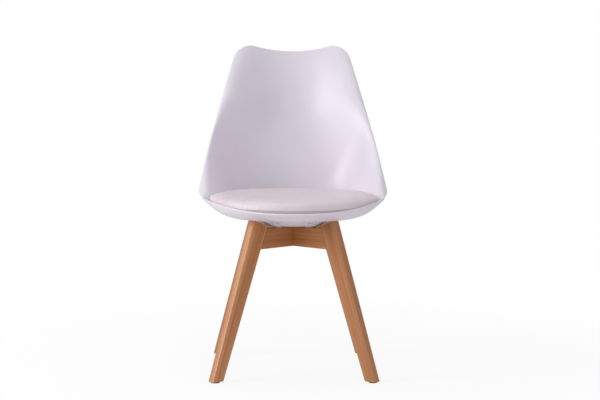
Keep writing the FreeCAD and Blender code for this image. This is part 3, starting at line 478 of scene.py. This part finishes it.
def lacquered_beech(name, along, offset, depth=0.0):
    """Steamed beech under clear lacquer: warm red-brown, straight grain, short dark ray flecks
    and a smooth gloss over faint pores. along is the grain's direction, offset is the place in
    the wood that the piece was cut from, and depth darkens the whole piece: partly the tone
    that woods differ in, partly painted shade on the pieces that stand in shade."""
    made, tree = material(name)
    place = add(tree, "ShaderNodeTexCoord").outputs["Object"]
    turn = Vector(along).rotation_difference(Vector((0, 0, 1))).to_euler()
    upright = add(tree, "ShaderNodeMapping", {"Rotation": turn, "Location": offset},
                  {"Vector": place})
    drawn = add(tree, "ShaderNodeMapping", {"Scale": (1.0, 1.0, 0.05)},
                {"Vector": upright.outputs["Vector"]})
    short = add(tree, "ShaderNodeMapping", {"Scale": (1.0, 1.0, 0.16)},
                {"Vector": upright.outputs["Vector"]})
    # growth rings about 7 mm apart, warped as a flat-sawn board shows them
    rings = add(tree, "ShaderNodeTexWave",
                {"Scale": WAVE_PERIOD / (7 * MM), "Distortion": 9.0, "Detail": 2.0,
                 "Detail Scale": 0.6},
                {"Vector": drawn.outputs["Vector"]}, wave_type="BANDS", bands_direction="X")
    fibre = add(tree, "ShaderNodeTexNoise", {"Scale": 1 / (1.3 * MM), "Detail": 4.0,
                                             "Roughness": 0.6},
                {"Vector": drawn.outputs["Vector"]})
    broad = add(tree, "ShaderNodeTexNoise", {"Scale": 1 / (22 * MM), "Detail": 2.0},
                {"Vector": drawn.outputs["Vector"]})
    # ray flecks 0.9 mm wide and some 6 mm long
    flecks = add(tree, "ShaderNodeTexVoronoi", {"Scale": 1 / (1.5 * MM), "Randomness": 1.0},
                 {"Vector": short.outputs["Vector"]})
    dark = add(tree, "ShaderNodeValToRGB", {}, {"Fac": flecks.outputs["Distance"]},
               [(0.16, 1.0), (0.3, 0.0)])
    ringed = add(tree, "ShaderNodeMix", {"Factor": 0.75}, {"A": rings.outputs["Fac"],
                                                          "B": fibre.outputs["Fac"]})
    mixed = add(tree, "ShaderNodeMix", {"Factor": 0.6}, {"A": ringed.outputs["Result"],
                                                         "B": broad.outputs["Fac"]})
    tone = add(tree, "ShaderNodeValToRGB", {}, {"Fac": mixed.outputs["Result"]},
               [(0.3, colour("#A06234")), (0.5, colour("#B87A48")), (0.7, colour("#C98F5E"))])
    fleck_share = add(tree, "ShaderNodeMath", {1: 0.3}, {0: dark.outputs["Color"]},
                      operation="MULTIPLY")
    # depth mixes in a darker brown: partly the wood's own tone, partly painted shade
    board_tone_and_shade = add(tree, "ShaderNodeMix", {"Factor": depth, "B": colour("#7E4115")},
                {"A": tone.outputs["Color"]}, data_type="RGBA")
    flecked = add(tree, "ShaderNodeMix", {"B": colour("#8A5430")},
                  {"Factor": fleck_share.outputs[0], "A": board_tone_and_shade.outputs["Result"]},
                  data_type="RGBA")
    gloss = add(tree, "ShaderNodeValToRGB", {}, {"Fac": fibre.outputs["Fac"]},
                [(0.3, 0.38), (0.7, 0.5)])
    relief = add(tree, "ShaderNodeBump", {"Strength": 1.0, "Distance": 0.08 * MM},
                 {"Height": fibre.outputs["Fac"]})
    finish_surface(tree, {"IOR": 1.5, "Coat Weight": 0.35, "Coat Roughness": 0.22,
                          "Coat IOR": 1.5},
                   {"Base Color": flecked.outputs["Result"],
                    "Roughness": gloss.outputs["Color"],
                    "Normal": relief.outputs["Normal"]})
    return made


def birch_plywood():
    """Raw plywood: pale sanded face veneer and darker plies in the edge."""
    made, tree = material("raw_birch_plywood")
    place = add(tree, "ShaderNodeTexCoord").outputs["Object"]
    drawn = add(tree, "ShaderNodeMapping", {"Scale": (1.0, 0.06, 1.0)}, {"Vector": place})
    face = add(tree, "ShaderNodeTexNoise", {"Scale": 1 / (4 * MM), "Detail": 4.0},
               {"Vector": drawn.outputs["Vector"]})
    # plies of 1.5 mm, so a pair every 3 mm
    plies = add(tree, "ShaderNodeTexWave",
                {"Scale": WAVE_PERIOD / (3 * MM), "Distortion": 0.4},
                {"Vector": place}, wave_type="BANDS", bands_direction="Z")
    mixed = add(tree, "ShaderNodeMix", {"Factor": 0.35}, {"A": face.outputs["Fac"],
                                                          "B": plies.outputs["Fac"]})
    tone = add(tree, "ShaderNodeValToRGB", {}, {"Fac": mixed.outputs["Result"]},
               [(0.3, colour("#B48E60")), (0.7, colour("#D6B788"))])
    relief = add(tree, "ShaderNodeBump", {"Strength": 1.0, "Distance": 0.1 * MM},
                 {"Height": face.outputs["Fac"]})
    finish_surface(tree, {"Roughness": 0.75, "IOR": 1.5},
                   {"Base Color": tone.outputs["Color"],
                    "Normal": relief.outputs["Normal"]})
    return made


def metal(name, low, high, gloss_low, gloss_high, crystal_mm):
    """Plated or turned metal whose tone varies from crystal to crystal."""
    made, tree = material(name)
    place = add(tree, "ShaderNodeTexCoord").outputs["Object"]
    crystals = add(tree, "ShaderNodeTexVoronoi", {"Scale": 1 / (crystal_mm * MM)},
                   {"Vector": place})
    cloud = add(tree, "ShaderNodeTexNoise", {"Scale": 260.0, "Detail": 3.0}, {"Vector": place})
    mixed = add(tree, "ShaderNodeMix", {"Factor": 0.5}, {"A": crystals.outputs["Distance"],
                                                         "B": cloud.outputs["Fac"]})
    tone = add(tree, "ShaderNodeValToRGB", {}, {"Fac": mixed.outputs["Result"]},
               [(0.2, colour(low)), (0.7, colour(high))])
    gloss = add(tree, "ShaderNodeValToRGB", {}, {"Fac": cloud.outputs["Fac"]},
                [(0.3, gloss_low), (0.7, gloss_high)])
    relief = add(tree, "ShaderNodeBump", {"Strength": 1.0, "Distance": 0.02 * MM},
                 {"Height": cloud.outputs["Fac"]})
    finish_surface(tree, {"Metallic": 1.0},
                   {"Base Color": tone.outputs["Color"], "Roughness": gloss.outputs["Color"],
                    "Normal": relief.outputs["Normal"]})
    return made


def moulded_nylon():
    """Black nylon: dull, with a faint moulded grain and scuffs from the floor."""
    made, tree = material("black_moulded_nylon")
    place = add(tree, "ShaderNodeTexCoord").outputs["Object"]
    grain = add(tree, "ShaderNodeTexNoise", {"Scale": 1 / (0.7 * MM), "Detail": 3.0},
                {"Vector": place})
    scuff = add(tree, "ShaderNodeTexNoise", {"Scale": 1 / (6 * MM), "Detail": 5.0},
                {"Vector": place})
    tone = add(tree, "ShaderNodeValToRGB", {}, {"Fac": scuff.outputs["Fac"]},
               [(0.4, colour("#2A2725")), (0.75, colour("#4A4642"))])
    gloss = add(tree, "ShaderNodeValToRGB", {}, {"Fac": scuff.outputs["Fac"]},
                [(0.3, 0.42), (0.7, 0.62)])
    relief = add(tree, "ShaderNodeBump", {"Strength": 1.0, "Distance": 0.04 * MM},
                 {"Height": grain.outputs["Fac"]})
    finish_surface(tree, {"IOR": 1.53},
                   {"Base Color": tone.outputs["Color"], "Roughness": gloss.outputs["Color"],
                    "Normal": relief.outputs["Normal"]})
    return made


# Seat pad: lengths in millimetres

PAD_HALF_WIDTH, PAD_REAR_DEPTH, PAD_WIDEST_Y = 220.0, 172.0, -4.0 - SETBACK
PAD_VOXEL, SMOOTHING_ROUNDS, MERGE_DISTANCE = 4.5, 4, 0.01
SWELL_PRESSURE, MOST_SWELL, QUICK_SWELL, CLOTH_FRAMES = 4.0, 2.5, 0.8, 20
# What lies this far below the seam's plane is held still, and over the fade it comes free
HELD_BELOW, HELD_FADE = 4.0, 6.0
# 1 keeps the crown's slope, less than 1 levels it
TOP_LEVELNESS = 0.55
CORNER_FILL, CORNER_FROM, CORNER_FADE = 0.10, 0.5, 0.4
CORNER_CLEARANCE, SHELL_CLEARANCE, SHELL_SEARCH = 1.5, 0.5, 20.0
FOLD_DEPTH, FOLD_HEIGHT, FOLD_SPREAD = 0.22, 4.0, 5.0
CREASE_START, CREASE_END = (-128.0, -205.0 - SETBACK), (-116.0, -150.0 - SETBACK)
CREASE_DEPTH, CREASE_HALF_WIDTH = 1.1, 4.0


def plain_copy(node, name):
    """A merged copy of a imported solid's mesh."""
    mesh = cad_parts[node].data.copy()
    work = bmesh.new()
    work.from_mesh(mesh)
    bmesh.ops.remove_doubles(work, verts=work.verts, dist=MERGE_DISTANCE * MM)
    work.to_mesh(mesh)
    work.free()
    face_outward(mesh)
    item = bpy.data.objects.new(name, mesh)
    bpy.context.scene.collection.objects.link(item)
    return item


def applied(item):
    """The object's mesh with its modifiers worked in."""
    graph = bpy.context.evaluated_depsgraph_get()
    mesh = bpy.data.meshes.new_from_object(item.evaluated_get(graph))
    item.modifiers.clear()
    item.data = mesh
    return mesh


def positions(mesh):
    """A mesh's points as rows of x, y and z."""
    flat = np.empty(len(mesh.vertices) * 3)
    mesh.vertices.foreach_get("co", flat)
    return flat.reshape(-1, 3)


def set_positions(mesh, points):
    mesh.vertices.foreach_set("co", np.asarray(points, float).ravel())
    mesh.update()


def vertex_normals(mesh):
    return np.array([normal.vector for normal in mesh.vertex_normals])


def above_seam(points):
    """Height over the plane of the pad's seam, in metres."""
    return points[:, 2] - (PAD_EDGE_Z * MM
                           + (points[:, 1] - PAD_MIDDLE_Y * MM) * math.tan(PAD_TILT))


def swell(item):
    """Blows the foam's form up inside its cover. What lies on the shell stays put."""
    mesh = item.data
    before = positions(mesh)
    height = above_seam(before)
    held = item.vertex_groups.new(name="held")
    for vertex in mesh.vertices:
        free = (height[vertex.index] + HELD_BELOW * MM) / (HELD_FADE * MM)
        held.add([vertex.index], 1.0 - min(1.0, max(0.0, free)), "REPLACE")
    cloth = item.modifiers.new("cover", "CLOTH")
    cloth.settings.use_pressure = True
    cloth.settings.uniform_pressure_force = SWELL_PRESSURE
    cloth.settings.effector_weights.gravity = 0
    cloth.settings.vertex_group_mass = "held"
    cloth.settings.tension_stiffness = 30
    cloth.settings.compression_stiffness = 30
    cloth.settings.bending_stiffness = 4
    cloth.settings.quality = 6
    cloth.point_cache.frame_start = 1
    cloth.point_cache.frame_end = CLOTH_FRAMES
    scene = bpy.context.scene
    for number in range(1, CLOTH_FRAMES + 1):
        scene.frame_set(number)
    graph = bpy.context.evaluated_depsgraph_get()
    after = positions(item.evaluated_get(graph).data)
    item.modifiers.clear()
    item.vertex_groups.clear()
    move = after - before
    length = np.linalg.norm(move, axis=1, keepdims=True)
    move *= np.minimum(1, MOST_SWELL * MM / np.maximum(length, 1e-9))
    set_positions(mesh, before + move)
    scene.frame_set(1)


def smoothed(item):
    """Gives a form an even skin without creases."""
    remesh = item.modifiers.new("skin", "REMESH")
    remesh.mode = "VOXEL"
    remesh.voxel_size = PAD_VOXEL * MM
    relax = item.modifiers.new("relax", "SMOOTH")
    relax.factor = 0.5
    relax.iterations = SMOOTHING_ROUNDS
    applied(item)


def boxed(points):
    """Fills the top out towards its edges, so that it is level nearly to the seam."""
    height = above_seam(points)
    crown = height.max()
    share = np.clip(height / crown, 0, 1)
    lifted = points.copy()
    lifted[:, 2] += crown * (share ** TOP_LEVELNESS - share) * (height > 0)
    return lifted


def filled_corners(points, tree):
    """Pushes the pad's two rear corners outward until they come close to the shell's wall."""
    clearance, widest = CORNER_CLEARANCE * MM, PAD_WIDEST_Y * MM
    across = points[:, 0] / (PAD_HALF_WIDTH * MM)
    back = (points[:, 1] - widest) / (PAD_REAR_DEPTH * MM)
    turn = np.arctan2(np.maximum(back, 0), np.abs(across))
    reach = np.clip((np.hypot(across, back) - CORNER_FROM) / CORNER_FADE, 0, 1)
    move = np.zeros_like(points)
    share = CORNER_FILL * np.sin(2 * turn) ** 2 * reach * reach * (back > 0)
    move[:, 0] = points[:, 0] * share
    move[:, 1] = (points[:, 1] - widest) * share
    filled = points.copy()
    for number in np.nonzero(share > 1e-5)[0]:
        length = float(np.linalg.norm(move[number]))
        way = Vector(move[number] / length)
        start = Vector(points[number])
        hit, _, _, distance = tree.ray_cast(start, way, length + clearance)
        if hit is not None:
            length = max(0.0, distance - clearance)
        filled[number] += np.array(way * length)
    return filled


def gathers(points, normals):
    """Small folds where the cover is drawn round the pad's edge, and one crease in front."""
    height = above_seam(points) / MM
    angle = np.arctan2(points[:, 1] - PAD_MIDDLE_Y * MM, points[:, 0])
    not_underneath = normals[:, 2] > -0.2
    near_edge = np.exp(-((height - FOLD_HEIGHT) / FOLD_SPREAD) ** 2) * not_underneath
    # two sets of waves round the pad, so that no two neighbouring folds are alike
    fine, broad, wobble, offset = 61, 37, 2.1, 1.3
    folds = (np.sin(angle * fine + wobble * np.sin(angle * 3)) * 0.5
             + np.sin(angle * broad + offset) * 0.5) * FOLD_DEPTH * near_edge
    start = np.array(CREASE_START) * MM
    line = np.array(CREASE_END) * MM - start
    flat = points[:, :2] - start
    share = np.clip(flat @ line / (line @ line), 0, 1)
    off = np.linalg.norm(flat - share[:, None] * line, axis=1) / MM
    length_fade = np.sin(math.pi * np.clip(share, 0.02, 0.98))
    crease = -CREASE_DEPTH * np.exp(-(off / CREASE_HALF_WIDTH) ** 2) * length_fade
    return points + normals * ((folds + crease * (normals[:, 2] > 0)) * MM)[:, None]


def keep_off(points, tree):
    """Moves points that come too near the shell back off it."""
    least = SHELL_CLEARANCE * MM
    kept = points.copy()
    for number, point in enumerate(points):
        near, normal, _, _ = tree.find_nearest(Vector(point), SHELL_SEARCH * MM)
        if near is None:
            continue
        gap = (Vector(point) - near).dot(normal)
        if gap < least:
            kept[number] = np.array(Vector(point) + normal * (least - gap))
    return kept


def seat_pad(shell, leather):
    """The pad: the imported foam's form, swollen, filled out and drawn in at its edge."""
    pad = plain_copy("pad_foam", "seat_pad")
    smoothed(pad)
    swell(pad)
    finer = pad.modifiers.new("finer", "SUBSURF")
    finer.levels = finer.render_levels = 1
    mesh = applied(pad)
    skin = BVHTree.FromObject(shell, bpy.context.evaluated_depsgraph_get())
    points = filled_corners(boxed(positions(mesh)), skin)
    set_positions(mesh, points)
    points = gathers(points, vertex_normals(mesh))
    set_positions(mesh, keep_off(points, skin))
    mesh.shade_smooth()
    mesh.materials.clear()
    mesh.materials.append(leather)
    return pad


# Base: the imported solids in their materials

# Middle of a leg at the floor and near its top: distance from the middle and height
LEG_FOOT, LEG_TOP = (271.5, 0.0), (126.0, 380.0)
# Each leg's heading, the place in the wood that it was cut from, and how much darker it is
# drawn: partly its wood's tone, partly painted shade, most on the shaded front right leg
LEGS = (("front_left_leg", 225, (0.013, 0.004, 0.3), 0.0),
        ("front_right_leg", 315, (0.002, 0.021, 1.1), 0.3),
        ("rear_left_leg", 135, (0.031, 0.017, 2.3), 0.25),
        ("rear_right_leg", 45, (0.008, 0.035, 0.7), 0.15))
ZINC_PLATED = ("pad_screws", "pad_screw_washers", "pad_tee_nuts", "frame_bolts",
               "frame_spring_washers", "frame_flat_washers", "foot_glide_nails")


def leg_direction(turn):
    """The way a leg's grain runs."""
    reach = LEG_TOP[0] - LEG_FOOT[0]
    return (reach * math.cos(turn), reach * math.sin(turn), LEG_TOP[1] - LEG_FOOT[1])


def finish_node(node, made):
    """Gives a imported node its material."""
    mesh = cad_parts[node].data
    mesh.materials.clear()
    mesh.materials.append(made)


def finish_base():
    """Wood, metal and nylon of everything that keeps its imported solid."""
    for name, degrees, offset, depth in LEGS:
        grain = leg_direction(math.radians(degrees))
        finish_node(name, lacquered_beech("lacquered_beech_" + name, grain, offset, depth))
    # The rails' last numbers darken them: partly their wood's tone, partly painted shade.
    finish_node("upper_cross_rail", lacquered_beech("lacquered_beech_upper_rail", (1, 1, 0),
                                                    (0.011, 0.043, 0.2), 0.35))
    finish_node("lower_cross_rail", lacquered_beech("lacquered_beech_lower_rail", (-1, 1, 0),
                                                    (0.037, 0.009, 0.9), 0.15))
    finish_node("rail_dowels", lacquered_beech("raw_beech_dowels", (1, 0, 1), (0, 0, 0)))
    finish_node("pad_base_board", birch_plywood())
    zinc = metal("zinc_plated_steel", "#9C9FA2", "#C6C9CC", 0.28, 0.42, 0.9)
    for node in ZINC_PLATED:
        finish_node(node, zinc)
    brass = metal("turned_brass", "#B08A45", "#D2B26A", 0.22, 0.34, 0.6)
    finish_node("threaded_inserts", brass)
    finish_node("foot_glides", moulded_nylon())


# Studio: lengths in metres

FLOOR_RADIUS, FLOOR_SIDES = 9.0, 96
FADE_START, FADE_END, FLOOR_GLOW = 0.5, 1.5, 0.86


def studio_floor():
    """A white floor that keeps the shadow near the chair and fades into the white round it."""
    work = bmesh.new()
    bmesh.ops.create_circle(work, cap_ends=True, segments=FLOOR_SIDES, radius=FLOOR_RADIUS)
    mesh = bpy.data.meshes.new("floor")
    work.to_mesh(mesh)
    work.free()
    floor = bpy.data.objects.new("floor", mesh)
    bpy.context.scene.collection.objects.link(floor)
    made, tree = material("white_floor")
    place = add(tree, "ShaderNodeTexCoord").outputs["Object"]
    far = add(tree, "ShaderNodeVectorMath", {}, {0: place}, operation="LENGTH")
    fade = add(tree, "ShaderNodeMapRange", {"From Min": FADE_START, "From Max": FADE_END},
               {"Value": far.outputs["Value"]}, interpolation_type="SMOOTHSTEP")
    matt = add(tree, "ShaderNodeBsdfDiffuse", {"Color": (0.97, 0.97, 0.97, 1)})
    path = add(tree, "ShaderNodeLightPath")
    glow = add(tree, "ShaderNodeEmission", {}, {"Strength": path.outputs["Is Camera Ray"]})
    share = add(tree, "ShaderNodeMath", {1: FLOOR_GLOW}, {0: path.outputs["Is Camera Ray"]},
                operation="MULTIPLY")
    lift = add(tree, "ShaderNodeMixShader", {}, {"Fac": share.outputs[0],
                                                 1: matt.outputs["BSDF"],
                                                 2: glow.outputs["Emission"]})
    clear = add(tree, "ShaderNodeBsdfTransparent")
    whole = add(tree, "ShaderNodeMixShader", {}, {"Fac": fade.outputs["Result"],
                                                  1: lift.outputs["Shader"],
                                                  2: clear.outputs["BSDF"]})
    add(tree, "ShaderNodeOutputMaterial", {}, {"Surface": whole.outputs["Shader"]})
    mesh.materials.append(made)


def studio_world(level):
    """White to the eye, and a weaker even light on the chair."""
    world = bpy.data.worlds.new("white_studio")
    bpy.context.scene.world = world
    world.use_nodes = True
    tree = world.node_tree
    tree.nodes.clear()
    path = add(tree, "ShaderNodeLightPath")
    seen = add(tree, "ShaderNodeMath", {}, {0: path.outputs["Is Camera Ray"],
                                            1: path.outputs["Is Transmission Ray"]},
               operation="MAXIMUM")
    bright = add(tree, "ShaderNodeMapRange", {"To Min": level, "To Max": 1.0},
                 {"Value": seen.outputs[0]})
    back = add(tree, "ShaderNodeBackground", {"Color": (1, 1, 1, 1)},
               {"Strength": bright.outputs["Result"]})
    add(tree, "ShaderNodeOutputWorld", {}, {"Surface": back.outputs["Background"]})


def soft_light(name, place, target, width, height, power):
    """A large even lamp that faces a target."""
    data = bpy.data.lights.new(name, "AREA")
    data.shape = "RECTANGLE"
    data.size, data.size_y = width, height
    data.energy = power
    item = bpy.data.objects.new(name, data)
    bpy.context.scene.collection.objects.link(item)
    item.location = place
    item.rotation_mode = "QUATERNION"
    item.rotation_quaternion = (Vector(target) - Vector(place)).to_track_quat("-Z", "Y")


def photo_camera():
    """The photograph's view: nearly straight on, a little above the seat, from the front."""
    photo_width_pixels, focal_pixels, sensor_width = 600, 1502.4, 36.0
    distance, height, aside = 3.8, 0.7297, 0.0172
    # in radians
    yaw, pitch, roll = 0.0250, 0.0786, 0.0038
    data = bpy.data.cameras.new("photo_camera")
    data.sensor_width = sensor_width
    data.lens = focal_pixels / photo_width_pixels * sensor_width
    camera = bpy.data.objects.new("photo_camera", data)
    bpy.context.scene.collection.objects.link(camera)
    yaw_cos, yaw_sin = math.cos(yaw), math.sin(yaw)
    right = Vector((yaw_cos, -yaw_sin, 0))
    ahead = Vector((yaw_sin * math.cos(pitch), yaw_cos * math.cos(pitch), -math.sin(pitch)))
    up = right.cross(ahead)
    right_turned = right * math.cos(roll) + up * math.sin(roll)
    up_turned = up * math.cos(roll) - right * math.sin(roll)
    place = Vector((yaw_cos * aside - yaw_sin * distance,
                    -yaw_sin * aside - yaw_cos * distance - SETBACK * MM, height))
    camera.matrix_world = Matrix.Translation(place) @ Matrix(
        (right_turned, up_turned, -ahead)).transposed().to_4x4()
    bpy.context.scene.camera = camera


# Build

shell = moulded_shell(moulded_polypropylene())
pad = seat_pad(shell, synthetic_leather())

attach(shell, "root")
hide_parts("seat_shell")
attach(pad, "root")
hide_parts("pad_cover", "pad_foam")

finish_base()
studio_floor()
studio_world(level=0.54)
soft_light("key", (-3.5, -1.2, 1.6), target=(0, 0, 0.5), width=1.8, height=1.8, power=74)
soft_light("fill", (1.4, -3.4, 1.2), target=(0, 0, 0.4), width=2.2, height=2.2, power=19)
soft_light("top", (-0.4, 0.4, 3.0), target=(0, 0.1, 0.4), width=2.0, height=2.0, power=12)
photo_camera()
bpy.context.scene.view_settings.view_transform = "Standard"
